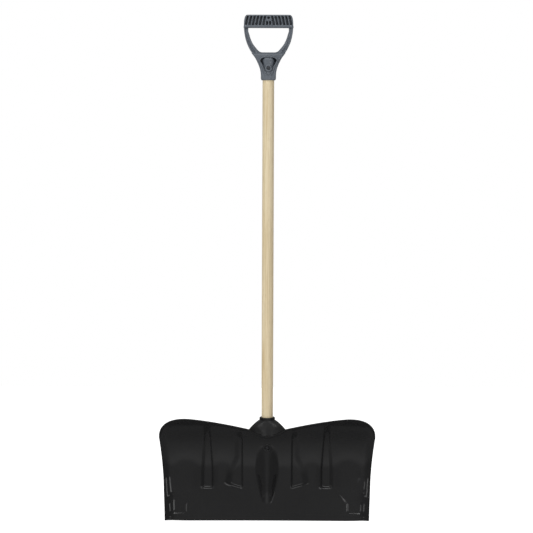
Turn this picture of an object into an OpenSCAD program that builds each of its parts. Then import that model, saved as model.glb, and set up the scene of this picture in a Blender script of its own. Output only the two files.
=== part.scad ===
// Snow shovel: moulded scoop blade, straight wooden shaft and moulded D-grip.
// Frame: origin at the middle of the scraping edge, X to the right, Y away from
// the open side of the scoop, Z up along the shaft. Millimetres.

/* [Blade] */
// Half width of the blade at its widest, near the top corners
blade_hw = 280; // [240:1:300]
// Half width of the blade at the scraping edge
blade_edge_hw = 265; // [230:1:290]
// Height of the crown of each wing above the scraping edge
wing_h = 275; // [255:1:300]
// Height of the dip in the top rim, in front of the shaft
dip_h = 222; // [210:1:235]
// Depth of the scoop behind the scraping edge
scoop_depth = 28.5; // [26:0.5:30]
// Wall thickness of the blade
blade_wall = 3.6; // [3:0.1:5]
// Thickness of the band along the scraping edge
lip_wall = 4.6; // [4:0.1:6]
// Height of that band
lip_h = 19; // [12:1:26]
// Depth of the pressed stiffening channels
channel_d = 4.8; // [3:0.1:7]
// How far each side of the blade turns forward
side_curl = 10; // [6:1:14]

/* [Shaft] */
// Diameter of the wooden shaft
shaft_d = 30; // [28:0.5:31]
// Distance from the scraping edge back to the shaft axis
shaft_y = 30; // [28:0.5:32]
// Height of the shaft's lower end
shaft_z0 = 75; // [72:1:85]
// Height of the shaft's upper end
shaft_z1 = 1194; // [1188:1:1196]

/* [Socket] */
// Outer radius of the blade's socket
socket_r = 20; // [19:0.1:21]
// Radius of the collar at the socket's mouth
collar_r = 20.4; // [20:0.1:22]
// Height of the socket's mouth
socket_z = 268; // [264:1:272]
// Gap between the shaft and each socket wall
socket_gap = 0.2; // [0.1:0.05:0.4]
// Half width of the shoulder under the collar
shoulder_hw = 48; // [40:1:54]

/* [Grip] */
// Height of the grip socket's lower rim
grip_z0 = 1145.7; // [1140:0.1:1150]
// Height of the flat underside of the crossbar
bar_z0 = 1279.5; // [1275:0.5:1284]
// Height of the top of the crossbar
bar_z1 = 1313.5; // [1310:0.5:1318]
// Depth of the crossbar, front to back
bar_depth = 31; // [28:1:34]
// Depth of the arms, front to back
arm_depth = 23; // [20:1:26]
// Outer radius of the grip's socket
grip_r = 18.2; // [17.5:0.1:19]
// Width of each finger slot
slot_w = 5; // [4:0.25:5.5]
// Pitch of the finger slots
slot_pitch = 8.9; // [8.5:0.1:9]
// Depth of the finger slots
slot_depth = 8; // [5:1:10]

/* [Fasteners] */
// Height of the bolt through the blade's boss
bolt_z = 190; // [186:1:194]
// Diameter of that bolt
bolt_d = 6; // [5:0.5:6]
// Height of the screw in the grip
screw_z = 1177; // [1174:1:1180]
// Diameter of that screw
screw_d = 4; // [3.5:0.5:4.5]

/* [Hidden] */
EPS = 0.01;
bore_r = shaft_d / 2 + socket_gap;

// ---- helpers -------------------------------------------------------------
function clamp01(t) = t < 0 ? 0 : t > 1 ? 1 : t;
function smooth(t) = let (s = clamp01(t)) s * s * (3 - 2 * s);
function cr(a, b, c, d, t) =
  0.5 * (2 * b + (c - a) * t + (2 * a - 5 * b + 4 * c - d) * t * t + (3 * b - a - 3 * c + d) * t * t * t);
// Smooth curve through a few chosen points
function curve(P, n) = concat(
  [for (i = [0:len(P) - 2]) for (k = [0:n - 1])
     cr(P[max(i - 1, 0)], P[i], P[i + 1], P[min(i + 2, len(P) - 1)], k / n)],
  [P[len(P) - 1]]);
function mirrored(P) = [for (i = [len(P) - 1:-1:0]) [-P[i][0], P[i][1]]];

// ---- blade surface -------------------------------------------------------
// Height at which the blade is widest
wide_z = 222;
// Profile of the scoop from the scraping edge to the crown
function prof(z) = let (t = (z - 115) / 150)
  scoop_depth - 53 * t * t - (scoop_depth * 0.358) * pow(t, 3) - 5.4 * pow(t, 4);
function prof_slope(z) = let (t = (z - 115) / 150)
  -(106 * t + 3 * scoop_depth * 0.358 * t * t + 21.6 * pow(t, 3)) / 150;
prof0 = prof(0);
// Half width at a height
function half_w(z) = let (h = min(z, wide_z))
  blade_edge_hw + (blade_hw - blade_edge_hw) * (0.66 * h / wide_z + 0.34 * pow(max(0, (h - 100) / (wide_z - 100)), 1.7));
// Top rim: a V dip, a long rise to the wing's crown, then a round shoulder
crown_x = blade_hw - 68;
dip_x = 48;
knee_h = wing_h - 32;
function rim_z(x) = let (a = abs(x))
  a < dip_x ? dip_h + (knee_h - dip_h) * pow(a / dip_x, 1.6)
  : a < crown_x ? wing_h - 32 * pow((crown_x - a) / (crown_x - dip_x), 1.35)
  : wide_z + (wing_h - wide_z) * pow(max(0, 1 - pow((a - crown_x) / 68, 2.3)), 1 / 2.3);
// Scraping edge: straight, with its two ends lifted a little
function edge_z(x) = 2.5 * pow(max(0, (abs(x) - 200) / 66), 2);

// Straight channel, near the outside of the blade
function chan_a(a, z, zt) = let (w = 7.5 + 6.5 * clamp01((238 - z) / 110))
  smooth((w + 3 - abs(a - 156)) / (a > 156 ? 10 : 7)) * smooth((z - 78) / 9) * smooth((zt - 9 - z) / 26);
// Flared channel, near the middle
function chan_b(a, z, zt) = let (
    f = clamp01((165 - z) / 75),
    xo = 88 + 32 * f, xf = 70 + 22 * f, ze = 78 + 14 * clamp01((a - 66) / 47))
  smooth((a - 62) / 6) * smooth((xo - a) / (xo - xf)) * smooth((z - ze) / 8) * smooth((zt - 9 - z) / 26);
// Lower corner: a slanting step, then a dish that turns into the side
function corner(a, z) = let (ac = 208 - 30 * pow(clamp01((z - 40) / 36), 1.1))
  -1.4 * smooth((a - ac) / 6) * smooth((84 - z) / 14) * smooth((z - 13) / 7)
  + (0.05 * max(0, a - ac - 3) + 7 * pow(clamp01((a - ac - 8) / 60), 2.2)) * smooth((122 - z) / 80);

// Housing that the scoop raises over the socket
crest_y = shaft_y - socket_r - 2;
function house_w(z) = z < 120 ? 31 * pow(max(0, 1 - (120 - z) / 98), 0.62)
  : 31 * sqrt(max(0, 1 - pow((z - 120) / 85, 4)));
function house(a, z, y) = let (w = house_w(z), h = y - crest_y - 7 * smooth((84 - z) / 60))
  (w < 1 || h < 0 || a >= w) ? 0 : h * pow(1 - a * a / (w * w), 1.5);

// Front face of the blade, y at (x, z)
function front_y(x, z, zt) = let (
    a = abs(x), w = half_w(z), e = w - a,
    base = prof(z) - prof0 - lip_wall / 2 - 5 * pow(a / blade_hw, 2)
           - side_curl * pow(clamp01(1 - e / 26), 2)
           - 3.0 * smooth((a - 88) / 26) * smooth((144 - a) / 22) * smooth((z - 45) / 60) * smooth((195 - z) / 70)
           - 4.5 * smooth((a - 162) / 44) * smooth((262 - a) / 44) * smooth((z - 45) / 60) * smooth((195 - z) / 70)
           - corner(a, z)
           + channel_d * (chan_a(a, z, zt) + chan_b(a, z, zt)))
  base - house(a, z, base);
// Thickness measured along Y
function wall_y(x, z, zt) =
  (blade_wall + (lip_wall - blade_wall) * smooth((lip_h + 2 - z) / 4) + 1.6 * smooth((z - zt + 8) / 4))
  * sqrt(1 + pow(prof_slope(z), 2));

// Columns, tightest round the housing, the channels and the side curl
COL_H = [0, 5, 10, 15, 20, 25, 31, 39, 48, 59, 63, 67, 73, 80, 88, 100, 115, 130,
         143, 148, 152, 160, 164, 169, 183, 200, 215, 229, 241, 251, 259, 266, 272, 276.5, 279, 280];
COLS = concat([for (i = [len(COL_H) - 1:-1:1]) -COL_H[i]], COL_H);
NR = 30;
ROWS = [for (j = [0:NR]) j / NR];
function col_x(c, z) = let (a = abs(c))
  (c < 0 ? -1 : 1) * (a <= 200 ? a : 200 + (a - 200) * (half_w(z) - 200) / 80);
function col_top(c) = rim_z(c * (abs(c) > 200 ? 1 : 1));
function row_z(c, v) = let (b = edge_z(c), t = col_top(c)) b + (t - b) * v;

module blade_skin() {
  n = len(COLS);
  m = len(ROWS);
  front = [for (v = ROWS) for (c = COLS)
    let (z = row_z(c, v), x = col_x(c, z), zt = col_top(c)) [x, front_y(x, z, zt), z]];
  back = [for (v = ROWS) for (c = COLS)
    let (z = row_z(c, v), x = col_x(c, z), zt = col_top(c)) [x, front_y(x, z, zt) + wall_y(x, z, zt), z]];
  N = n * m;
  tri_f = [for (j = [0:m - 2]) for (i = [0:n - 2]) let (a = j * n + i)
    each [[a, a + n, a + n + 1], [a, a + n + 1, a + 1]]];
  tri_b = [for (t = tri_f) [t[2] + N, t[1] + N, t[0] + N]];
  bot = [for (i = [0:n - 2]) each [[i, i + 1, i + 1 + N], [i, i + 1 + N, i + N]]];
  top = [for (i = [0:n - 2]) let (a = (m - 1) * n + i) each [[a, a + N + 1, a + 1], [a, a + N, a + N + 1]]];
  lft = [for (j = [0:m - 2]) let (a = j * n) each [[a, a + N, a + n + N], [a, a + n + N, a + n]]];
  rgt = [for (j = [0:m - 2]) let (a = j * n + n - 1) each [[a, a + n, a + n + N], [a, a + n + N, a + N]]];
  polyhedron(points = concat(front, back), faces = concat(tri_f, tri_b, bot, top, lft, rgt));
}

// Sections of the shoulder that spreads the socket's load into the top of the blade
module shoulder() {
  hull() {
    translate([0, shaft_y, socket_z - 10]) cylinder(r = collar_r, h = 4, $fn = 32);
    translate([0, 24, 236]) scale([shoulder_hw, 26, 1]) cylinder(r = 1, h = 2, $fn = 32);
  }
  hull() {
    translate([0, 24, 236]) scale([shoulder_hw, 26, 1]) cylinder(r = 1, h = 2, $fn = 32);
    translate([0, 30, 196]) scale([26, 19, 1]) cylinder(r = 1, h = 2, $fn = 32);
  }
}

module along_y(x, z, y0, y1, r) {
  translate([x, y0, z]) rotate([-90, 0, 0]) cylinder(r = r, h = y1 - y0, $fn = 48);
}

module blade() {
  color([0.09, 0.09, 0.10]) difference() {
    union() {
      blade_skin();
      shoulder();
      // socket tube, its collar, and the taper at its lower end
      translate([0, shaft_y, 66]) cylinder(r = socket_r, h = socket_z - 68, $fn = 96);
      translate([0, shaft_y, socket_z - 6]) cylinder(r = collar_r, h = 6, $fn = 96);
      translate([0, shaft_y, 34]) cylinder(r1 = 9, r2 = socket_r, h = 32, $fn = 96);
      // boss for the bolt, front and back
      along_y(0, bolt_z, crest_y - 1.5, shaft_y, 10.4);
      along_y(0, bolt_z, shaft_y, shaft_y + socket_r + 1.5, 10.4);
    }
    translate([0, shaft_y, shaft_z0 - 0.5]) cylinder(r = bore_r, h = 300, $fn = 96);
    along_y(0, bolt_z, -30, 90, bolt_d / 2 + 0.2);
    along_y(0, bolt_z, crest_y - 30, crest_y + 3, 6);
  }
}

// ---- shaft ---------------------------------------------------------------
module shaft() {
  r = shaft_d / 2;
  color([0.84, 0.75, 0.58]) difference() {
    union() {
      translate([0, shaft_y, shaft_z0 + 3]) cylinder(r = r, h = shaft_z1 - shaft_z0 - 6, $fn = 96);
      translate([0, shaft_y, shaft_z0]) cylinder(r1 = r - 3, r2 = r, h = 3, $fn = 96);
      translate([0, shaft_y, shaft_z1 - 3]) cylinder(r1 = r, r2 = r - 3, h = 3, $fn = 96);
    }
    along_y(0, bolt_z, -10, 80, bolt_d / 2 + 0.2);
    along_y(0, screw_z, 0, shaft_y + 8, screw_d / 2 + 0.1);
  }
}

// ---- grip ----------------------------------------------------------------
// Outline of the D, right half, from the socket's rim up to the crossbar
OUT_R = [[16.6, 1146], [18.2, 1150], [18.4, 1161], [20, 1172], [23.4, 1183], [27.8, 1193], [33, 1203],
         [40.4, 1213], [47.4, 1223], [53, 1234], [57, 1244], [60, 1255], [62.2, 1267], [63.4, 1280],
         [63.4, 1291], [62.7, 1300], [60.8, 1308], [57, 1312.6], [52, 1313.5]];
// Outline of the hand opening, right half
IN_R = [[14, 1217.3], [20, 1217.9], [26, 1221.5], [31.5, 1227.8], [37, 1234.5], [42, 1242.5], [46.5, 1253],
        [49.8, 1264], [52.1, 1271.5], [52, 1279.5]];

module in_xz(y0, y1) {
  translate([0, y1, 0]) rotate([90, 0, 0]) linear_extrude(height = y1 - y0) children();
}
module d_outline() {
  P = curve(OUT_R, 3);
  polygon(concat([[0, 1146]], P, [[0, bar_z1]], []));
  mirror([1, 0]) polygon(concat([[0, 1146]], P, [[0, bar_z1]]));
}
module hand_hole() {
  P = curve(IN_R, 4);
  polygon(concat(P, mirrored(P)));
}
// A finger slot: a curved bar that leans outwards towards its lower end
function slot_pts(x0) = let (s = x0 < 0 ? -1 : 1, n = 6,
    mid = [for (k = [0:n]) let (t = k / n) [x0 + s * (1.6 - 3.2 * t - 1.4 * t * t + 0.8), 1287 + 22.5 * t]])
  concat([for (p = mid) [p[0] - slot_w / 2, p[1]]], [for (k = [n:-1:0]) [mid[k][0] + slot_w / 2, mid[k][1]]]);
module slots() {
  for (s = [-1, 1]) for (k = [1:6]) polygon(slot_pts(s * (slot_pitch * k + 2)));
  for (s = [-1, 1]) translate([s * 4.4 - 2, 1287]) square([4, 9]);
}
// The sunk shield on the front of the yoke, right and left of the socket
SHIELD_R = [[0, 1158], [6, 1160], [10.5, 1168], [14.5, 1180], [20, 1191], [21.5, 1197], [16.5, 1202], [8.5, 1204.6], [0, 1205.4]];
module shield() {
  P = curve(SHIELD_R, 3);
  polygon(concat(P, mirrored([for (i = [1:len(P) - 2]) P[i]])));
}

module d_grip() {
  y0 = shaft_y - arm_depth / 2;
  y1 = shaft_y + arm_depth / 2;
  b0 = shaft_y - bar_depth / 2;
  b1 = shaft_y + bar_depth / 2;
  color([0.26, 0.29, 0.33]) difference() {
    union() {
      // arms and yoke
      difference() {
        in_xz(y0, y1) difference() { d_outline(); hand_hole(); }
        // sunk shield, front and back, leaving a middle web
        in_xz(y0 - 1, y0 + 5) shield();
        in_xz(y1 - 5, y1 + 1) shield();
      }
      // crossbar, rounded in section, with finger slots front and back
      difference() {
        intersection() {
          in_xz(b0, b1) difference() {
            d_outline();
            translate([-80, 1100]) square([160, bar_z0 - 1100]);
          }
          translate([-70, 0, 0]) rotate([90, 0, 90]) linear_extrude(height = 140)
            polygon([for (p = curve([[shaft_y - 9, bar_z0], [b0 + 1.8, bar_z0 + 3], [b0, bar_z0 + 12], [b0 + 0.6, bar_z1 - 9],
                                     [b0 + 4, bar_z1 - 2], [shaft_y - 7, bar_z1], [shaft_y + 7, bar_z1],
                                     [b1 - 4, bar_z1 - 2], [b1 - 0.6, bar_z1 - 9], [b1, bar_z0 + 12],
                                     [b1 - 1.8, bar_z0 + 3], [shaft_y + 9, bar_z0]], 3))
                       [p[0], min(max(p[1], bar_z0), bar_z1)]]);
        }
        in_xz(b0 - 1, b0 + slot_depth) slots();
        in_xz(b1 - slot_depth, b1 + 1) slots();
      }
      // socket
      translate([0, shaft_y, grip_z0 + 3]) cylinder(r = grip_r, h = 52, $fn = 96);
      translate([0, shaft_y, grip_z0]) cylinder(r1 = grip_r - 2, r2 = grip_r, h = 3, $fn = 96);
      // screw boss
      along_y(0, screw_z, shaft_y - grip_r - 2, shaft_y - 12, 9);
    }
    translate([0, shaft_y, grip_z0 - 1]) cylinder(r = bore_r, h = shaft_z1 + 0.5 - grip_z0 + 1, $fn = 96);
    along_y(0, screw_z, -10, shaft_y, screw_d / 2 + 0.2);
    along_y(0, screw_z, -10, shaft_y - grip_r + 1, 4.8);
  }
}

// ---- fasteners -----------------------------------------------------------
module blade_bolt() {
  color([0.13, 0.13, 0.14]) difference() {
    union() {
      along_y(0, bolt_z, crest_y + 3, shaft_y + socket_r + 10, bolt_d / 2);
      along_y(0, bolt_z, crest_y, crest_y + 3, 5.4);
    }
    translate([0, crest_y + 1.6, bolt_z]) rotate([90, 0, 0]) cylinder(r = 2.3, h = 4, $fn = 6);
  }
}
module blade_washer() {
  color([0.62, 0.63, 0.65]) difference() {
    along_y(0, bolt_z, shaft_y + socket_r + 1.5, shaft_y + socket_r + 3.1, 6.4);
    along_y(0, bolt_z, 40, 70, bolt_d / 2 + 0.2);
  }
}
module blade_nut() {
  color([0.62, 0.63, 0.65]) difference() {
    translate([0, shaft_y + socket_r + 3.1, bolt_z]) rotate([-90, 0, 0]) cylinder(r = 5.77, h = 5, $fn = 6);
    along_y(0, bolt_z, 40, 70, bolt_d / 2 + 0.05);
  }
}
module grip_screw() {
  color([0.30, 0.31, 0.33]) difference() {
    union() {
      along_y(0, screw_z, shaft_y - grip_r + 1, shaft_y + 6, screw_d / 2);
      along_y(0, screw_z, shaft_y - grip_r - 1.4, shaft_y - grip_r + 1, 4.3);
    }
    for (a = [0, 90]) translate([0, shaft_y - grip_r - 1.4, screw_z]) rotate([0, a, 0])
      cube([4.4, 2.4, 0.9], center = true);
  }
}

blade();
shaft();
d_grip();
blade_bolt();
blade_washer();
blade_nut();
grip_screw();
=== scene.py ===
import bpy, math
import numpy as np
from mathutils import Vector, Matrix


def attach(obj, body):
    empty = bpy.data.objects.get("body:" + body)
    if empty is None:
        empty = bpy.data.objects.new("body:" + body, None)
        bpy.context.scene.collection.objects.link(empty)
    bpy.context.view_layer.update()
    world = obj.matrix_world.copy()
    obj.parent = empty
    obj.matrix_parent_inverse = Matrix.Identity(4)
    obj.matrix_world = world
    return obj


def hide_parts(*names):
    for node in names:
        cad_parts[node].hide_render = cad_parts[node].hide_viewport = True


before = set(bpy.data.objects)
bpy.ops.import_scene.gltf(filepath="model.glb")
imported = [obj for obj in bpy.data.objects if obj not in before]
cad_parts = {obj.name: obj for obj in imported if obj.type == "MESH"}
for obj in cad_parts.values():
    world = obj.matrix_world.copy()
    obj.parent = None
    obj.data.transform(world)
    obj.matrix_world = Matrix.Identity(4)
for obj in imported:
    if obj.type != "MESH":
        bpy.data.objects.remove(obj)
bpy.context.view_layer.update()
MM = 0.001
SY = 30.0                      # shaft axis, y in mm
scene = bpy.context.scene

# ------------------------------------------------------------------ helpers
def clamp01(t): return np.clip(t, 0.0, 1.0)
def smooth(t):
    s = clamp01(t)
    return s * s * (3 - 2 * s)

def catmull(P, n):
    P = [np.array(p, float) for p in P]
    out = []
    for i in range(len(P) - 1):
        a, b, c, d = P[max(i - 1, 0)], P[i], P[i + 1], P[min(i + 2, len(P) - 1)]
        for k in range(n):
            t = k / n
            out.append(0.5 * (2 * b + (c - a) * t + (2 * a - 5 * b + 4 * c - d) * t * t + (3 * b - a - 3 * c + d) * t ** 3))
    out.append(P[-1])
    return np.array(out)

class Soup:
    """Vertices in mm and faces, gathered from several closed shapes into one mesh."""
    def __init__(self):
        self.v, self.f, self.n = [], [], 0
    def add(self, verts, faces):
        verts = np.asarray(verts, float).reshape(-1, 3)
        self.v.append(verts)
        self.f.extend([[i + self.n for i in f] for f in faces])
        self.n += len(verts)
    def grid(self, P, close_u=False, flip=False):
        """P[j][i]: rows of points; close_u joins each row's end to its start."""
        P = np.asarray(P, float)
        m, n = P.shape[:2]
        faces = []
        for j in range(m - 1):
            for i in range(n if close_u else n - 1):
                a, b = j * n + i, j * n + (i + 1) % n
                q = [a, b, b + n, a + n]
                faces.append(q[::-1] if flip else q)
        self.add(P, faces)
    def lathe(self, profile, cx, cz, n=64, axis="y", cy=0.0, flip=False, rfun=None):
        """Closed ring of (radius, offset) pairs turned about a line along y (or z)."""
        rows = []
        for r, o in profile:
            row = []
            for i in range(n):
                t = 2 * math.pi * i / n
                rr = min(r, rfun(t)) if rfun else r
                if axis == "y":
                    row.append((cx + rr * math.cos(t), o, cz + rr * math.sin(t)))
                else:
                    row.append((cx + rr * math.cos(t), cy + rr * math.sin(t), o))
            rows.append(row)
        self.grid(rows, close_u=True, flip=flip)
    def build(self, name, weld=0.0):
        me = bpy.data.meshes.new(name)
        V = np.concatenate(self.v) * MM
        me.from_pydata(V.tolist(), [], self.f)
        me.validate()
        me.update()
        ob = bpy.data.objects.new(name, me)
        scene.collection.objects.link(ob)
        import bmesh
        bm = bmesh.new(); bm.from_mesh(me)
        bmesh.ops.remove_doubles(bm, verts=bm.verts, dist=1e-6 if not weld else weld * MM)
        bmesh.ops.recalc_face_normals(bm, faces=bm.faces)
        for f in bm.faces: f.smooth = True
        bm.to_mesh(me); bm.free()
        return ob

def sharp(ob, deg):
    """Keep edges steeper than deg crisp."""
    me = ob.data
    try:
        me.set_sharp_from_angle(angle=math.radians(deg))
    except Exception:
        pass

# ------------------------------------------------------------------ blade surface (same rule as part.scad)
HW, EHW, WING, DIP, DEPTH, WALL, LIP_W, LIP_H, CH_D, CURL = 280., 265., 275., 222., 28.5, 3.6, 4.6, 19., 4.8, 10.
WIDE_Z, DIP_X = 222., 48.
CROWN_X, KNEE_H = HW - 68., WING - 32.

def prof(z):
    t = (z - 115) / 150
    return DEPTH - 53 * t ** 2 - DEPTH * 0.358 * t ** 3 - 5.4 * t ** 4
def prof_slope(z):
    t = (z - 115) / 150
    return -(106 * t + 3 * DEPTH * 0.358 * t * t + 21.6 * t ** 3) / 150
PROF0 = prof(0.0)
def half_w(z):
    h = np.minimum(z, WIDE_Z)
    return EHW + (HW - EHW) * (0.66 * h / WIDE_Z + 0.34 * np.maximum(0, (h - 100) / (WIDE_Z - 100)) ** 1.7)
def rim_z(x):
    a = np.abs(x)
    r1 = DIP + (KNEE_H - DIP) * (np.minimum(a, DIP_X) / DIP_X) ** 1.6
    r2 = WING - 32 * (np.clip(CROWN_X - a, 0, None) / (CROWN_X - DIP_X)) ** 1.35
    r3 = WIDE_Z + (WING - WIDE_Z) * np.clip(1 - (np.clip(a - CROWN_X, 0, None) / 68) ** 2.3, 0, None) ** (1 / 2.3)
    return np.where(a < DIP_X, r1, np.where(a < CROWN_X, r2, r3))
def edge_z(x): return 2.5 * np.clip((np.abs(x) - 200) / 66, 0, None) ** 2

def chan_a(a, z, zt):
    w = 7.5 + 6.5 * clamp01((238 - z) / 110)
    return smooth((w + 3 - np.abs(a - 156)) / np.where(a > 156, 10, 7)) * smooth((z - 78) / 9) * smooth((zt - 9 - z) / 26)
def chan_b(a, z, zt):
    f = clamp01((165 - z) / 75)
    xo, xf = 88 + 32 * f, 70 + 22 * f
    ze = 78 + 14 * clamp01((a - 66) / 47)
    return smooth((a - 62) / 6) * smooth((xo - a) / (xo - xf)) * smooth((z - ze) / 8) * smooth((zt - 9 - z) / 26)
def corner(a, z):
    ac = 208 - 30 * clamp01((z - 40) / 36) ** 1.1
    step = 1.4 * smooth((a - ac) / 6) * smooth((84 - z) / 14) * smooth((z - 11) / 14)
    dish = 0.05 * np.clip(a - ac - 3, 0, None) + 7 * clamp01((a - ac - 8) / 60) ** 2.2
    return dish * smooth((122 - z) / 80) - step
CREST = SY - 20 - 2
def house_w(z):
    lo = 31 * np.clip(1 - (120 - z) / 98, 0, None) ** 0.62
    hi = 31 * np.sqrt(np.clip(1 - (np.clip(z - 120, 0, None) / 85) ** 4, 0, None))
    return np.where(z < 120, lo, hi)
def house(a, z, y):
    w = np.maximum(house_w(z), 1e-3)
    h = np.maximum(y - CREST - 7 * smooth((84 - z) / 60), 0)
    return np.where((w > 1) & (a < w), h * np.clip(1 - (a / w) ** 2, 0, None) ** 1.5, 0)

def front_y(x, z, zt):
    a = np.abs(x)
    e = half_w(z) - a
    base = (prof(z) - PROF0 - LIP_W / 2 - 5 * (a / HW) ** 2 - CURL * clamp01(1 - e / 26) ** 2
            - 3.0 * smooth((a - 88) / 26) * smooth((144 - a) / 22) * smooth((z - 45) / 60) * smooth((195 - z) / 70)
            - 4.5 * smooth((a - 162) / 44) * smooth((262 - a) / 44) * smooth((z - 45) / 60) * smooth((195 - z) / 70)
            - corner(a, z)
            + CH_D * (chan_a(a, z, zt) + chan_b(a, z, zt)))
    y = base - house(a, z, base)
    return y
def extras(x, z, zt):
    """Small relief on the open side: rim bead, gussets at the channels' tops, step of the lip band and three fine
    lines on the band.
    """
    a = np.abs(x)
    d = -0.9 * np.exp(-((zt - z - 2.0) / 2.4) ** 2)
    for xc, w in ((156, 10.5), (69, 11.0)):
        d = d - 1.6 * clamp01(1 - np.abs(a - xc) / w - (zt - z) / 11.0)
    d = d - 0.35 * smooth((LIP_H - z) / 1.2)
    for k in range(3):
        d = d + 0.22 * np.exp(-((z - (LIP_H - 4.5 - 5 * k)) / 0.7) ** 2)
    return d
def wall_y(x, z, zt):
    return (WALL + (LIP_W - WALL) * smooth((LIP_H + 2 - z) / 4) + 1.6 * smooth((zt * -1 + z + 8) / 4)) * np.sqrt(1 + prof_slope(z) ** 2)

def spaced(stops):
    """Positions from 0 up, with a step that changes between stops: [(to, step), ...]."""
    out, p = [0.0], 0.0
    for to, st in stops:
        n = max(1, int(round((to - p) / st)))
        out += [p + (to - p) * k / n for k in range(1, n + 1)]
        p = to
    return np.array(out)

def blade_mesh():
    cols_h = spaced([(34, 1.5), (56, 2.6), (92, 1.5), (140, 3.0), (172, 1.4), (200, 2.8), (240, 2.6), (266, 1.6), (274, 1.0), (278, 0.7), (280, 0.4)])
    cols = np.concatenate([-cols_h[:0:-1], cols_h])
    v = spaced([(0.10, 0.0065), (0.26, 0.0105), (0.40, 0.0065), (0.62, 0.0115), (0.90, 0.0082), (1.0, 0.0055)])
    ca = np.abs(cols)
    zt = rim_z(ca) - 0.0
    zb = edge_z(ca)
    Z = zb[None, :] + (zt - zb)[None, :] * v[:, None]
    W = half_w(Z)
    X = np.sign(cols)[None, :] * np.where(ca[None, :] <= 200, ca[None, :], 200 + (ca[None, :] - 200) * (W - 200) / 80)
    ZT = np.broadcast_to(zt[None, :], Z.shape)
    Yf = front_y(X, Z, ZT) + extras(X, Z, ZT)
    Yb = front_y(X, Z, ZT) + wall_y(X, Z, ZT)
    # room for the bolt's boss
    r = np.hypot(X, Z - 190)
    hole = r < 8.6
    Yf = np.where(hole, 13.0, Yf)
    Yb = np.where(hole, 16.0, Yb)
    F = np.stack([X, Yf, Z], -1)
    B = np.stack([X, Yb, Z], -1)
    m, n = X.shape
    # edge loop all round: bottom left -> right, right side up, top right -> left, left side down
    loop = [(0, i) for i in range(n)] + [(j, n - 1) for j in range(1, m)] + [(m - 1, i) for i in range(n - 2, -1, -1)] + [(j, 0) for j in range(m - 2, 0, -1)]
    s = Soup()
    s.grid(F)
    s.grid(B, flip=True)
    rows = []
    Lf = np.array([F[j, i] for j, i in loop]); Lb = np.array([B[j, i] for j, i in loop])
    # outward direction in the face, averaged along the loop
    tang = np.roll(Lf, -1, 0) - np.roll(Lf, 1, 0)
    tang /= np.linalg.norm(tang, axis=1)[:, None] + 1e-9
    thick = Lb - Lf
    th = np.linalg.norm(thick, axis=1)[:, None]
    out = np.cross(tang, thick / th)
    out /= np.linalg.norm(out, axis=1)[:, None]
    c = Lf.mean(0)
    if ((out * (Lf - c)).sum(1) < 0).mean() > 0.5: out = -out
    low = np.array([1.0 if j == 0 else 0.0 for j, i in loop])[:, None]
    for t, o in ((0.0, 0.0), (0.10, 0.55), (0.24, 0.85), (0.5, 0.95), (0.76, 0.85), (0.90, 0.55), (1.0, 0.0)):
        rows.append(Lf + thick * t + out * o * (1 - low * 0.9))
    s.grid(np.array(rows), close_u=True)
    return s

def ring_points(n=96):
    return [2 * math.pi * i / n for i in range(n)]

def socket_mesh(s):
    """Collar, shoulder and tube in one closed loft; its front merges into the blade's wall."""
    N = 96
    ph = np.array(ring_points(N))
    sx, cxx = np.sin(ph), -np.cos(ph)          # 0 is the open side (-y)
    front = np.cos(ph) > -1e-9
    rows = []
    def circ(r, z): rows.append(np.stack([r * sx, SY + r * cxx, np.full(N, z)], -1))
    # inside of the bore up to the mouth, then over the collar
    circ(0.01, 75.0); circ(15.2, 75.0); circ(15.2, 160.0); circ(15.2, 266.0); circ(15.5, 267.6); circ(16.1, 268.4); circ(18.9, 268.4)
    circ(19.9, 267.9); circ(20.4, 266.9); circ(20.45, 265.0); circ(20.4, 263.4); circ(20.1, 262.7); circ(19.75, 262.3)
    T = np.stack([19.9 * sx, SY + 19.9 * cxx, np.full(N, 261.8)], -1)
    def mid_wall(x, z):
        zt = rim_z(np.abs(x))
        zz = np.minimum(z, zt)
        return front_y(x, zz, zt) + 0.55 * wall_y(x, zz, zt)
    def base_ring(a, zf, zs, zbk, back):
        """Front half along the blade's wall at half width a; back half an ellipse round the tube."""
        x = a * sx
        zfr = zf(x)
        z90 = zfr[np.argmin(np.abs(ph - math.pi / 2))]
        y90 = mid_wall(np.array([a]), np.array([z90]))[0]
        y = np.where(front, mid_wall(x, zfr), y90 + (back - y90) * cxx)
        z = np.where(front, zfr, z90 + (zbk - z90) * clamp01(cxx))
        return np.stack([x, y, z], -1)
    a0 = 48.0
    Bm = base_ring(a0, lambda x: rim_z(x) - 0.4, 243, 238.0, 51.5)
    K = 14
    for k in range(K + 1):
        t = k / K
        e = t ** 1.08
        P = T * (1 - e) + Bm * e
        bul = 4 * t * (1 - t)
        P[:, 0] += sx * 1.6 * bul
        P[:, 1] += cxx * 0.2 * bul
        P[:, 2] += 0.6 * bul
        rows.append(P)
    for z in np.linspace(-4, -62, 22):
        t = clamp01(-z / 58.0)
        a = 20 + 28 * (1 - smooth(t * 0.93 + 0.07))
        P = base_ring(a, lambda x: rim_z(x * 48 / max(a, 20)) * 0 + (rim_z(np.clip(x, -48, 48)) - 0.4) + z, 0, 238 + z, 51.5 - 1.5 * t)
        w = smooth((t - 0.35) / 0.65)
        C = np.stack([20 * sx, SY + 20 * cxx, P[:, 2]], -1)
        rows.append(P * (1 - w) + C * w)
    for z in np.linspace(168, 68, 16):
        k = clamp01((168 - z) / 30)
        last = rows[-1]
        circ(20.0, z)
        rows[-1][:, 2] = rows[-1][:, 2] * k + (last[:, 2] - 2) * (1 - k)
    for z, r in ((64, 19.6), (58, 18.2), (50, 15.6), (43, 12.6), (38, 9.6), (35.5, 6.4), (34.5, 3.2), (34.2, 0.01)):
        circ(r, z)
    s.grid(np.array(rows), close_u=True)

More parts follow.
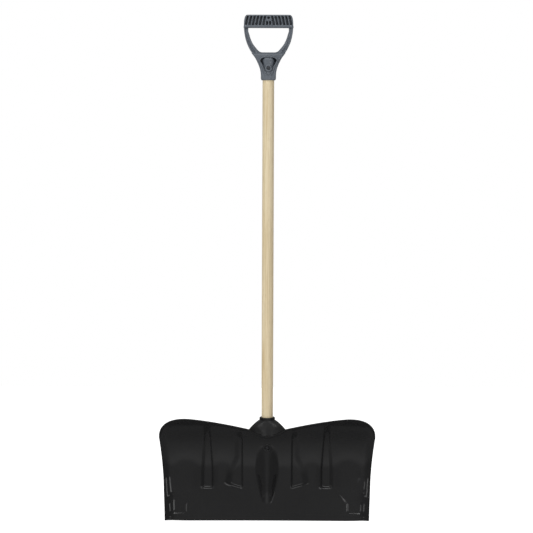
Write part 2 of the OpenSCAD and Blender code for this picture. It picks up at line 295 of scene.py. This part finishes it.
def boss_mesh(s):
    z = 190.0
    s.lathe([(3.3, 14.5), (3.3, 11.2), (5.9, 11.2), (5.9, 7.6), (6.2, 6.9), (6.9, 6.5), (9.2, 6.5), (10.0, 6.8), (10.4, 7.6), (10.6, 10.5), (10.9, 14.5), (3.3, 14.5)], 0, z, 72)
    s.lathe([(3.3, 44.0), (3.3, 51.5), (8.9, 51.5), (9.9, 51.1), (10.4, 50.2), (10.7, 47.0), (11.2, 44.0), (3.3, 44.0)], 0, z, 72)

# ------------------------------------------------------------------ signed distance tools for the grip
def poly_sdf(poly, X, Z):
    """Signed distance to a closed polygon (negative inside)."""
    P = np.asarray(poly, float)
    Q = np.roll(P, -1, 0)
    d2 = np.full(X.shape, 1e18)
    inside = np.zeros(X.shape, bool)
    for (ax, az), (bx, bz) in zip(P, Q):
        ex, ez = bx - ax, bz - az
        L = ex * ex + ez * ez
        if L < 1e-12: continue
        wx, wz = X - ax, Z - az
        t = np.clip((wx * ex + wz * ez) / L, 0, 1)
        d2 = np.minimum(d2, (wx - t * ex) ** 2 + (wz - t * ez) ** 2)
        c = ((az > Z) != (bz > Z)) & (X < (bx - ax) * (Z - az) / ((bz - az) if abs(bz - az) > 1e-12 else 1e-12) + ax)
        inside ^= c
    return np.where(inside, -1, 1) * np.sqrt(d2)

def smin(a, b, k):
    h = np.clip(k - np.abs(a - b), 0, None) / k
    return np.minimum(a, b) - h * h * k * 0.25
def smax(a, b, k): return -smin(-a, -b, k)
def rounded(terms, r):
    """Intersection of half spaces with edges rounded to r."""
    q = [t + r for t in terms]
    m = q[0]
    s2 = np.clip(q[0], 0, None) ** 2
    for t in q[1:]:
        m = np.maximum(m, t)
        s2 = s2 + np.clip(t, 0, None) ** 2
    return np.sqrt(s2) + np.minimum(m, 0) - r

def surface_net(F, org, h):
    """Quads and vertices of the zero level of F (negative inside)."""
    nx, ny, nz = F.shape
    S = F < 0
    c = np.zeros((nx - 1, ny - 1, nz - 1), np.int8)
    corners = [(i, j, k) for i in (0, 1) for j in (0, 1) for k in (0, 1)]
    for i, j, k in corners:
        c += S[i:nx - 1 + i, j:ny - 1 + j, k:nz - 1 + k]
    act = (c > 0) & (c < 8)
    idx = np.argwhere(act)
    ID = -np.ones(act.shape, np.int64)
    ID[tuple(idx.T)] = np.arange(len(idx))
    vals = {cc: F[idx[:, 0] + cc[0], idx[:, 1] + cc[1], idx[:, 2] + cc[2]] for cc in corners}
    acc = np.zeros((len(idx), 3)); cnt = np.zeros(len(idx))
    for a in corners:
        for ax in range(3):
            if a[ax] == 1: continue
            b = list(a); b[ax] = 1; b = tuple(b)
            fa, fb = vals[a], vals[b]
            x = (fa < 0) != (fb < 0)
            t = np.where(x, fa / np.where(x, fa - fb, 1), 0)
            p = np.array(a, float)[None, :].repeat(len(idx), 0)
            p[:, ax] += t
            acc += p * x[:, None]; cnt += x
    V = (idx + acc / cnt[:, None]) * h + np.array(org)[None, :]
    quads = []
    for ax in range(3):
        o = [1 if a == ax else 0 for a in range(3)]
        A = S[:nx - o[0], :ny - o[1], :nz - o[2]]
        Bq = S[o[0]:, o[1]:, o[2]:]
        ed = np.argwhere(A != Bq)
        u, w = [a for a in range(3) if a != ax]
        ok = (ed[:, u] > 0) & (ed[:, w] > 0) & (ed[:, u] < F.shape[u] - 1) & (ed[:, w] < F.shape[w] - 1)
        ed = ed[ok]
        def cell(du, dw):
            e = ed.copy(); e[:, u] -= du; e[:, w] -= dw
            return ID[tuple(e.T)]
        q = np.stack([cell(1, 1), cell(0, 1), cell(0, 0), cell(1, 0)], 1)
        s = A[tuple(ed.T)]
        flip = s if ax != 1 else ~s
        q[~flip] = q[~flip][:, ::-1]
        quads.append(q)
    Q = np.concatenate(quads)
    return V, Q[(Q >= 0).all(1)]

def project(V, F, org, h, steps=2):
    """Move vertices onto the zero level, using the field's own slope."""
    G = np.gradient(F, h)
    def samp(A, p):
        q = np.clip((p - org) / h, 0, np.array(A.shape) - 1.001)
        i = q.astype(int); f = q - i
        r = 0
        for a in (0, 1):
            for b in (0, 1):
                for c in (0, 1):
                    w = (f[:, 0] if a else 1 - f[:, 0]) * (f[:, 1] if b else 1 - f[:, 1]) * (f[:, 2] if c else 1 - f[:, 2])
                    r = r + w * A[i[:, 0] + a, i[:, 1] + b, i[:, 2] + c]
        return r
    org = np.array(org)
    for _ in range(steps):
        d = samp(F, V)
        g = np.stack([samp(G[a], V) for a in range(3)], 1)
        L = np.maximum((g ** 2).sum(1), 0.25)
        V = V - 0.8 * g * (d / L)[:, None]
    return V

# ------------------------------------------------------------------ D-grip
OUT_R = [(16.6, 1146), (18.2, 1150), (18.4, 1161), (20, 1172), (23.4, 1183), (27.8, 1193), (33, 1203), (40.4, 1213), (47.4, 1223),
         (53, 1234), (57, 1244), (60, 1255), (62.2, 1267), (63.4, 1280), (63.4, 1291), (62.7, 1300), (60.8, 1308), (57, 1312.6), (52, 1313.5)]
IN_R = [(14, 1217.3), (20, 1217.9), (26, 1221.5), (31.5, 1227.8), (37, 1234.5), (42, 1242.5), (46.5, 1253), (49.8, 1264), (52.1, 1271.5), (52, 1279.5)]
SHIELD_R = [(0, 1157), (6, 1159.5), (10.5, 1167), (14.5, 1180), (20.5, 1191), (22.6, 1197.6), (17.5, 1203.2), (9, 1206.2), (0, 1207.2)]

def mirror_poly(P): return np.concatenate([P, (P * [-1, 1])[::-1]])

def grip_mesh():
    h = 0.95
    org = np.array([-66.6, -22.5, 1142.1])
    nx, ny, nz = 142, 49, 184
    xs = org[0] + h * np.arange(nx); ys = org[1] + h * np.arange(ny); zs = org[2] + h * np.arange(nz)
    X2, Z2 = np.meshgrid(xs, zs, indexing="ij")
    so = poly_sdf(mirror_poly(np.concatenate([[(0.0, 1145.0)], catmull(OUT_R, 5), [(0.0, 1313.5)]])), X2, Z2)
    sh = poly_sdf(mirror_poly(catmull(IN_R, 5)), X2, Z2)
    ss = poly_sdf(mirror_poly(catmull(SHIELD_R, 6)), X2, Z2)
    X, Y, Z = np.meshgrid(xs, ys, zs, indexing="ij")
    so, sh, ss = so[:, None, :], sh[:, None, :], ss[:, None, :]
    aY = np.abs(Y)
    D = np.maximum(so, -sh)
    # arms: rounded, a raised rib near the outer side and a sunk band with cross ribs near the inner side
    hy = 11.5 + 1.5 * smooth((1225 - Z) / 30)
    arms = rounded([np.maximum(D, 1140 - Z) + 0 * Y, aY - hy, Z - 1286.0], 4.2)
    armz = smooth((Z - 1212) / 8) * smooth((1284 - Z) / 6)
    face = smooth((aY - 6.5) / 3)
    arms = arms - (0.9 * np.exp(-((so + 1.9) / 1.2) ** 2) - 3.3 * np.exp(-((so + 6.2) / 2.2) ** 2)) * face * armz
    run = (np.abs(X) * 0.55 + (Z - 1212) * 0.83)
    hatch = 0.5 + 0.5 * np.cos(2 * math.pi * run / 4.2)
    band = np.exp(-((sh - 2.9) / 1.3) ** 2)
    arms = arms + (1.5 - 1.25 * smooth((hatch - 0.72) / 0.2)) * band * face * armz
    # crossbar
    bar = rounded([np.maximum(so, 0 * Y + 1279.5 - Z), aY - 15.5], 5.0)
    bar = np.maximum(bar, 1279.5 - Z)
    # finger slots, front and back
    t = (Z - 1287) / 22.5
    lean = 2.6 - 3.0 * t - 1.7 * t * t
    sl = np.full(X.shape, 1e3)
    for sgn in (-1, 1):
        for k in range(1, 7):
            xc = sgn * (8.9 * k + 2.0 + lean)
            sl = np.minimum(sl, rounded([np.abs(X - xc) - 2.8, np.abs(Z - 1298.6) - 11.6], 1.6))
        sl = np.minimum(sl, rounded([np.abs(X - sgn * 3.9) - 2.2, np.abs(Z - 1292.2) - 5.0], 1.6))
    sl = np.minimum(sl, np.hypot(X * 0.9, (Z - 1305.6)) - 3.1)
    slots = np.maximum(sl, 6.0 - aY)
    body = smin(arms, bar, 3.0)
    body = np.where(Z > 1279.5, body, smin(arms, np.maximum(bar, 0) + 2.0, 1.0))
    body = smax(body, -slots, 1.7)
    # yoke: socket tube, sunk shield with a raised rim round it
    R = np.hypot(X, Y)
    tube = rounded([R - 18.2, 1145.7 - Z, Z - 1203.0], 3.2)
    yoke_body = rounded([np.maximum(so, Z - 1214.0) + 0 * Y, 1146.2 - Z, aY - 15.6], 3.4)
    sunk = rounded([ss + 0 * Y, 6.2 - aY], 1.4)
    yoke = smax(smin(arms, yoke_body, 5.0), -sunk, 1.5)
    core = smin(tube, rounded([np.abs(X) - 10.2, np.abs(Z - 1185) - 24, aY - 15.0], 3.0), 4.0)
    yoke = smin(yoke, core, 1.6)
    rim = rounded([np.abs(ss - 0.2) - 1.6, aY - 18.6, 1158 - Z], 1.3)
    yoke = smin(yoke, rim, 1.8)
    # chevron below the screw boss
    ch = np.abs((Z - 1161.5) - 0.62 * np.abs(X))
    chev = rounded([ch - 1.4, np.abs(X) - 9.2, aY - 20.2, 15 - aY], 1.0)
    yoke = smin(yoke, chev, 1.4)
    d = np.where(Z > 1226, body, np.minimum(smin(body, yoke, 0.4) * smooth((Z - 1212) / 14) + yoke * (1 - smooth((Z - 1212) / 14)), 50))
    d = np.maximum(d, -(sh + 0 * Y))
    # screw boss on the open side
    rb = np.hypot(X, Z - 1177)
    boss = rounded([rb - 9.0, np.abs(Y + 13.5) - 6.7], 1.0)
    d = smin(d, boss, 1.4)
    d = smax(d, -rounded([rb - 4.9, np.abs(Y + 22) - 4.7], 0.3), 0.7)
    # blind bore for the shaft
    d = smax(d, -np.maximum(R - 15.25, Z - 1194.5), 0.5)
    V, Q = surface_net(d, org, h)
    V = project(V, d, org, h)
    V[:, 2] = np.clip(V[:, 2], 1145.2, 1313.6)
    V[:, 1] += SY
    s = Soup(); s.add(V, Q.tolist())
    return s

# ------------------------------------------------------------------ materials
def new_mat(name):
    m = bpy.data.materials.new(name); m.use_nodes = True
    nt = m.node_tree; nt.nodes.clear()
    out = nt.nodes.new("ShaderNodeOutputMaterial"); p = nt.nodes.new("ShaderNodeBsdfPrincipled")
    nt.links.new(p.outputs[0], out.inputs[0])
    return m, nt, p
def node(nt, kind, **kw):
    n = nt.nodes.new(kind)
    for k, v in kw.items(): setattr(n, k, v)
    return n
def coords(nt, scale=(1, 1, 1), rot=(0, 0, 0)):
    tc = node(nt, "ShaderNodeTexCoord"); mp = node(nt, "ShaderNodeMapping")
    mp.inputs["Scale"].default_value = scale; mp.inputs["Rotation"].default_value = rot
    nt.links.new(tc.outputs["Object"], mp.inputs[0])
    return mp.outputs[0]
def noise(nt, vec, scale, detail=4, rough=0.5, dist=0.0):
    n = node(nt, "ShaderNodeTexNoise")
    n.inputs["Scale"].default_value = scale; n.inputs["Detail"].default_value = detail
    n.inputs["Roughness"].default_value = rough; n.inputs["Distortion"].default_value = dist
    nt.links.new(vec, n.inputs["Vector"])
    return n.outputs["Fac"]
def ramp(nt, fac, stops):
    r = node(nt, "ShaderNodeValToRGB"); e = r.color_ramp.elements
    while len(e) < len(stops): e.new(0.5)
    for el, (p, c) in zip(e, stops):
        el.position = p; el.color = (*c, 1) if len(c) == 3 else c
    nt.links.new(fac, r.inputs[0])
    return r.outputs[0]
def maprange(nt, fac, a, b, c, d):
    n = node(nt, "ShaderNodeMapRange")
    for k, v in zip(("From Min", "From Max", "To Min", "To Max"), (a, b, c, d)): n.inputs[k].default_value = v
    nt.links.new(fac, n.inputs[0])
    return n.outputs[0]
def math_node(nt, op, a, b):
    n = node(nt, "ShaderNodeMath", operation=op)
    for i, q in enumerate((a, b)):
        if isinstance(q, (int, float)): n.inputs[i].default_value = q
        else: nt.links.new(q, n.inputs[i])
    return n.outputs[0]
def bump(nt, p, height, strength, dist, normal=None):
    b = node(nt, "ShaderNodeBump")
    b.inputs["Strength"].default_value = strength; b.inputs["Distance"].default_value = dist
    nt.links.new(height, b.inputs["Height"])
    if normal is not None: nt.links.new(normal, b.inputs["Normal"])
    nt.links.new(b.outputs[0], p.inputs["Normal"])
    return b.outputs[0]
def mix_rgb(nt, fac, a, b, blend="MIX"):
    n = node(nt, "ShaderNodeMix", data_type="RGBA", blend_type=blend)
    for sock, q in ((n.inputs[0], fac), (n.inputs[6], a), (n.inputs[7], b)):
        if isinstance(q, (int, float)): sock.default_value = q
        elif isinstance(q, tuple): sock.default_value = (*q, 1)
        else: nt.links.new(q, sock)
    return n.outputs[2]

def mat_blade():
    m, nt, p = new_mat("black_gloss_plastic")
    v = coords(nt)
    big = noise(nt, v, 7, 3)
    fine = noise(nt, v, 420, 2)
    col = ramp(nt, big, [(0.3, (0.0086, 0.0086, 0.0089)), (0.7, (0.0104, 0.0104, 0.0107))])
    # fine scuffs, running up the blade and strongest near the scraping edge
    vs = coords(nt, (900, 60, 14))
    scr = ramp(nt, noise(nt, vs, 1.0, 2, 0.4), [(0.60, (0, 0, 0)), (0.74, (1, 1, 1))])
    sep = node(nt, "ShaderNodeSeparateXYZ")
    tc = node(nt, "ShaderNodeTexCoord"); nt.links.new(tc.outputs["Object"], sep.inputs[0])
    low = maprange(nt, sep.outputs[2], 0.0, 0.055, 1.0, 0.0)
    wear = math_node(nt, "MULTIPLY", scr, math_node(nt, "MULTIPLY", low, 0.35))
    col2 = mix_rgb(nt, wear, col, (0.022, 0.022, 0.023))
    nt.links.new(col2, p.inputs["Base Color"])
    rgh = math_node(nt, "ADD", maprange(nt, big, 0.3, 0.7, 0.075, 0.115), math_node(nt, "MULTIPLY", wear, 0.35))
    # the shoulder above the rim's V is left satin
    ax = math_node(nt, "ABSOLUTE", sep.outputs[0], 0.0)
    vee = math_node(nt, "MULTIPLY", math_node(nt, "POWER", math_node(nt, "MULTIPLY", ax, 1 / 0.048), 1.6), 0.021)
    over = math_node(nt, "SUBTRACT", sep.outputs[2], math_node(nt, "ADD", vee, 0.2232))
    near = maprange(nt, ax, 0.048, 0.050, 1.0, 0.0)
    satin = math_node(nt, "MULTIPLY", maprange(nt, over, 0.0, 0.0012, 0.0, 1.0), near)
    rgh = math_node(nt, "ADD", rgh, math_node(nt, "MULTIPLY", satin, 0.30))
    nt.links.new(rgh, p.inputs["Roughness"])
    p.inputs["IOR"].default_value = 1.34
    bump(nt, p, math_node(nt, "ADD", math_node(nt, "MULTIPLY", fine, 0.25), noise(nt, v, 60, 2)), 0.05, 0.00025)
    return m

def mat_wood():
    m, nt, p = new_mat("ash_wood")
    # long grain: noise squeezed hard along the shaft, with growth rings bent by it
    v = coords(nt, (1, 1, 0.045))
    warp = noise(nt, v, 26, 3, 0.5)
    sep = node(nt, "ShaderNodeSeparateXYZ")
    nt.links.new(coords(nt), sep.inputs[0])
    ringsrc = math_node(nt, "ADD", math_node(nt, "MULTIPLY", sep.outputs[0], 210.0), math_node(nt, "MULTIPLY", sep.outputs[1], 90.0))
    ringsrc = math_node(nt, "ADD", ringsrc, math_node(nt, "MULTIPLY", warp, 7.0))
    saw = math_node(nt, "FRACT", ringsrc, 0.0)
    rings = ramp(nt, saw, [(0.0, (0.0, 0.0, 0.0)), (0.62, (0.25, 0.25, 0.25)), (0.90, (1, 1, 1)), (1.0, (0.1, 0.1, 0.1))])
    streak = noise(nt, coords(nt, (1, 1, 0.012)), 520, 3, 0.6)
    pore = ramp(nt, noise(nt, coords(nt, (1, 1, 0.03)), 1500, 1, 0.5), [(0.64, (0, 0, 0)), (0.72, (1, 1, 1))])
    tone = noise(nt, coords(nt, (1, 1, 0.25)), 14, 2)
    base = ramp(nt, tone, [(0.30, (0.600, 0.490, 0.305)), (0.70, (0.715, 0.620, 0.425))])
    c1 = mix_rgb(nt, math_node(nt, "MULTIPLY", rings, 0.74), base, (0.520, 0.370, 0.180))
    c2 = mix_rgb(nt, maprange(nt, streak, 0.42, 0.62, 0.0, 0.50), c1, (0.820, 0.720, 0.520))
    c3 = mix_rgb(nt, math_node(nt, "MULTIPLY", pore, 0.42), c2, (0.330, 0.220, 0.100))
    nt.links.new(c3, p.inputs["Base Color"])
    nt.links.new(maprange(nt, streak, 0.3, 0.7, 0.38, 0.52), p.inputs["Roughness"])
    p.inputs["IOR"].default_value = 1.45
    p.inputs["Coat Weight"].default_value = 0.12
    p.inputs["Coat Roughness"].default_value = 0.25
    bump(nt, p, math_node(nt, "ADD", streak, math_node(nt, "MULTIPLY", pore, -0.6)), 0.22, 0.00025)
    return m

def mat_grip():
    m, nt, p = new_mat("slate_plastic")
    v = coords(nt)
    big = noise(nt, v, 34, 3)
    grain = noise(nt, v, 1500, 2)
    col = ramp(nt, big, [(0.3, (0.092, 0.105, 0.124)), (0.7, (0.116, 0.132, 0.152))])
    # painted highlight: the sharp edges of the moulding are made paler in the colour by a pointiness mask
    geo = node(nt, "ShaderNodeNewGeometry")
    edge = ramp(nt, geo.outputs["Pointiness"], [(0.50, (0, 0, 0)), (0.62, (1, 1, 1))])
    col = mix_rgb(nt, math_node(nt, "MULTIPLY", edge, 0.34), col, (0.190, 0.210, 0.230))
    # painted shade: hollows, slots and grooves are darkened in the colour by an ambient-occlusion mask multiplied in
    ao = node(nt, "ShaderNodeAmbientOcclusion")
    ao.inputs["Distance"].default_value = 0.007
    ao.samples = 16
    painted_cavity_shade = ramp(nt, ao.outputs["AO"], [(0.30, (0.30, 0.31, 0.34)), (0.96, (1, 1, 1))])
    col = mix_rgb(nt, 1.0, col, painted_cavity_shade, "MULTIPLY")
    nt.links.new(col, p.inputs["Base Color"])
    nt.links.new(maprange(nt, grain, 0.3, 0.7, 0.36, 0.47), p.inputs["Roughness"])
    p.inputs["IOR"].default_value = 1.46
    bump(nt, p, grain, 0.07, 0.0002)
    return m

def mat_metal(name, color, rough, scale=900, metallic=1.0):
    m, nt, p = new_mat(name)
    v = coords(nt, (1, 1, 1))
    n = noise(nt, v, scale, 3)
    big = noise(nt, v, 140, 2)
    c = ramp(nt, big, [(0.3, tuple(q * 0.86 for q in color)), (0.7, color)])
    nt.links.new(c, p.inputs["Base Color"])
    p.inputs["Metallic"].default_value = metallic
    nt.links.new(maprange(nt, n, 0.3, 0.7, rough - 0.06, rough + 0.08), p.inputs["Roughness"])
    bump(nt, p, n, 0.10, 0.0001)
    return m

M_BLADE, M_WOOD, M_GRIP = mat_blade(), mat_wood(), mat_grip()
M_BLACK = mat_metal("black_oxide_steel", (0.030, 0.030, 0.032), 0.34, metallic=0.6)
M_ZINC = mat_metal("zinc_steel", (0.62, 0.63, 0.65), 0.30)
M_DARK = mat_metal("dark_phosphate_steel", (0.085, 0.09, 0.10), 0.42, metallic=0.8)

def place(ob, mat, nodename):
    ob.data.materials.clear(); ob.data.materials.append(mat)
    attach(ob, "root"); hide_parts(nodename)
    return ob

# ------------------------------------------------------------------ pieces
s = blade_mesh(); socket_mesh(s); boss_mesh(s)
blade = place(s.build("blade_moulding"), M_BLADE, "blade")
sharp(blade, 50)

def shaft_mesh():
    s = Soup()
    N = 96
    z0, z1, r = 75.0, 1194.0, 15.0
    zs = [z0, z0, z0 + 3.0] + list(np.linspace(z0 + 8, z1 - 8, 120)) + [z1 - 3.0, z1, z1]
    rs = [0.01, r - 3, r] + [r] * 120 + [r, r - 3, 0.01]
    ph = np.array(ring_points(N))
    rows = []
    for z, rr in zip(zs, rs):
        k = 1.0 - 0.0008 * (1 + math.sin(z * 0.021)) if rr == r else 1.0   # turned, so never perfectly even
        rows.append(np.stack([rr * k * np.cos(ph), SY + rr * k * np.sin(ph), np.full(N, z)], -1))
    s.grid(np.array(rows), close_u=True)
    return s
shaft = place(shaft_mesh().build("ash_shaft"), M_WOOD, "shaft")
sharp(shaft, 40)

grip = place(grip_mesh().build("d_grip_moulding"), M_GRIP, "d_grip")
sharp(grip, 65)

def hexr(flat, n=6, turn=0.0):
    return lambda t: flat / math.cos(((t - turn + math.pi / n) % (2 * math.pi / n)) - math.pi / n)

def blade_bolt():
    s = Soup()
    z = 190.0
    # button head with a hex socket, shank and a chamfered end
    prof_ = [(0.01, 9.7), (1.9, 9.7)]
    s.lathe([(0.01, 9.75), (2.2, 9.75)], 0, z, 72)
    hx = hexr(2.0)
    rows = []
    for r, o, hexed in ((2.2, 9.75, True), (2.2, 8.35, True), (2.7, 8.05, False), (3.7, 8.25, False), (4.7, 8.95, False), (5.3, 10.0, False),
                        (5.4, 10.9, False), (3.0, 11.0, False), (3.0, 59.0, False), (2.4, 60.0, False), (0.01, 60.0, False)):
        rows.append([((hx(2 * math.pi * i / 72) if hexed else r) * math.cos(2 * math.pi * i / 72), o,
                      z + (hx(2 * math.pi * i / 72) if hexed else r) * math.sin(2 * math.pi * i / 72)) for i in range(72)])
    rows.insert(0, [(0.01 * math.cos(2 * math.pi * i / 72), 9.75, z + 0.01 * math.sin(2 * math.pi * i / 72)) for i in range(72)])
    s = Soup(); s.grid(rows, close_u=True)
    return s
bolt = place(blade_bolt().build("blade_bolt_steel"), M_BLACK, "blade_bolt"); sharp(bolt, 35)

def washer():
    s = Soup()
    s.lathe([(3.25, 51.5), (3.15, 51.7), (3.15, 52.9), (3.3, 53.1), (6.1, 53.1), (6.4, 52.8), (6.4, 51.8), (6.2, 51.5), (3.25, 51.5)], 0, 190.0, 72)
    return s
wash = place(washer().build("blade_washer_steel"), M_ZINC, "blade_washer"); sharp(wash, 35)

def nut():
    s = Soup()
    hx = hexr(5.0)
    rows = []
    for r, o in ((3.05, 53.6), (3.5, 53.15), (5.0, 53.12), (5.45, 53.5), (5.9, 54.0), (5.9, 57.2), (5.45, 57.7), (5.0, 58.05), (3.6, 58.1), (3.05, 57.5), (3.05, 53.6)):
        rows.append([(min(r, hx(2 * math.pi * i / 96)) * math.cos(2 * math.pi * i / 96), o, 190 + min(r, hx(2 * math.pi * i / 96)) * math.sin(2 * math.pi * i / 96)) for i in range(96)])
    s.grid(rows, close_u=True)
    return s
nut_o = place(nut().build("blade_nut_steel"), M_ZINC, "blade_nut"); sharp(nut_o, 30)

def grip_screw():
    """Pan head with a cross recess."""
    s = Soup()
    z = 1177.0
    N = 96
    def cross(t, arm, w):
        c, q = abs(math.cos(t)), abs(math.sin(t))
        m = max(c, q); n_ = min(c, q)
        return min(arm / m, max(w / max(n_, 1e-6), w * 1.45))
    rows = []
    for kind, r, o in (("c", 0.01, 13.0), ("x", 1.25, 12.9), ("x", 2.15, 10.65), ("c", 2.7, 10.45), ("c", 3.4, 10.6), ("c", 4.0, 11.1), ("c", 4.3, 11.9),
                       ("c", 4.3, 12.75), ("c", 2.0, 12.8), ("c", 2.0, 34.0), ("c", 0.01, 36.0)):
        row = []
        for i in range(N):
            t = 2 * math.pi * i / N
            rr = cross(t, r, 0.42) if kind == "x" else r
            row.append((rr * math.cos(t), o, z + rr * math.sin(t)))
        rows.append(row)
    s.grid(rows, close_u=True)
    return s
scr = place(grip_screw().build("grip_screw_steel"), M_DARK, "grip_screw"); sharp(scr, 35)

# ------------------------------------------------------------------ stage, light, camera
def stage_floor():
    me = bpy.data.meshes.new("floor")
    w, y0, y1 = 1.6, -0.34, 2.4
    me.from_pydata([(-w, y0, -0.0006), (w, y0, -0.0006), (w, y1, -0.0006), (-w, y1, -0.0006)], [], [(0, 1, 2, 3)])
    ob = bpy.data.objects.new("floor", me); scene.collection.objects.link(ob)
    m, nt, p = new_mat("floor_pale")
    p.inputs["Base Color"].default_value = (0.86, 0.86, 0.86, 1)
    p.inputs["Roughness"].default_value = 0.9
    p.inputs["Emission Color"].default_value = (1, 1, 1, 1)
    p.inputs["Emission Strength"].default_value = 0.85
    me.materials.append(m)
    ob.visible_glossy = False
    return ob
floor = stage_floor()

def area(name, loc, target, size, power, glossy=True, color=(1, 1, 1), size_y=None):
    L = bpy.data.lights.new(name, "AREA"); L.energy = power; L.size = size; L.color = color
    if size_y: L.shape = "RECTANGLE"; L.size_y = size_y
    o = bpy.data.objects.new(name, L); scene.collection.objects.link(o)
    o.location = loc
    d = Vector(target) - Vector(loc)
    o.rotation_euler = d.to_track_quat("-Z", "Y").to_euler()
    o.visible_glossy = glossy
    o.visible_camera = False
    return o
area("key_left", (-3.0, -2.9, 1.5), (0, 0, 0.65), 1.8, 64, glossy=False)
area("fill_right", (2.8, -2.2, 1.6), (0, 0, 0.65), 1.6, 5, glossy=False)
area("overhead", (0, -1.75, 2.85), (0, 0, 0.1), 2.2, 24, size_y=0.45)
area("corner_box", (1.25, -3.0, 1.05), (-0.1, 0, 0.05), 0.6, 11, size_y=1.5)
area("corner_box_left", (-1.7, -2.8, 1.5), (0.2, 0, 0.05), 0.6, 4, size_y=1.0)
area("strip_left", (-2.9, -1.75, 1.0), (0.25, 0, 0.05), 0.35, 5, size_y=1.3)
area("strip_right", (2.9, -1.75, 1.0), (-0.25, 0, 0.05), 0.35, 5, size_y=1.3)

# a white studio; the camera sees plain white, the gloss sees a pale table below and softer walls
w = bpy.data.worlds.new("studio"); scene.world = w; w.use_nodes = True
nt = w.node_tree; nt.nodes.clear()
out = nt.nodes.new("ShaderNodeOutputWorld")
bgc = nt.nodes.new("ShaderNodeBackground"); bge = nt.nodes.new("ShaderNodeBackground")
mixs = nt.nodes.new("ShaderNodeMixShader"); lp = nt.nodes.new("ShaderNodeLightPath")
bgc.inputs[0].default_value = (1, 1, 1, 1); bgc.inputs[1].default_value = 1.0
tcw = nt.nodes.new("ShaderNodeTexCoord"); sepw = nt.nodes.new("ShaderNodeSeparateXYZ")
nt.links.new(tcw.outputs["Generated"], sepw.inputs[0])
def el(d): return 0.5 + 0.5 * math.sin(math.radians(d))
hz = maprange(nt, sepw.outputs[2], -1.0, 1.0, 0.0, 1.0)
lev = ramp(nt, hz, [(q, (v, v, v)) for q, v in ((el(-86), 0.20), (el(-76), 0.24), (el(-62), 0.44), (el(-46), 0.64), (el(-33), 0.84),
                                                (el(-27), 0.84), (el(-21), 0.47), (el(0), 0.45), (el(50), 0.45), (el(80), 0.6))])
side = ramp(nt, math_node(nt, "ABSOLUTE", sepw.outputs[0], 0.0), [(0.22, (1, 1, 1)), (0.42, (0.72, 0.72, 0.72)), (0.75, (0.42, 0.42, 0.42))])
nt.links.new(mix_rgb(nt, 1.0, lev, side, "MULTIPLY"), bge.inputs[0])
bge.inputs[1].default_value = 1.0
nt.links.new(lp.outputs["Is Camera Ray"], mixs.inputs[0])
nt.links.new(bge.outputs[0], mixs.inputs[1]); nt.links.new(bgc.outputs[0], mixs.inputs[2])
nt.links.new(mixs.outputs[0], out.inputs[0])

cam_d = bpy.data.cameras.new("camera")
cam = bpy.data.objects.new("camera", cam_d); scene.collection.objects.link(cam)
cam_d.sensor_width = 36.0
cam_d.lens = (5500 / 2.6) / 533 * 36.0
pitch = math.radians(5.0)
tgt = Vector((-0.0032, 0.030, 0.6634))
cam.location = tgt - Vector((0, math.cos(pitch), -math.sin(pitch))) * 5.5
cam.rotation_euler = (Matrix.Rotation(math.radians(85.0), 3, 'X') @ Matrix.Rotation(math.radians(0.20), 3, 'Z')).to_euler()
cam_d.clip_start, cam_d.clip_end = 0.05, 60
scene.camera = cam
scene.view_settings.view_transform = "Standard"
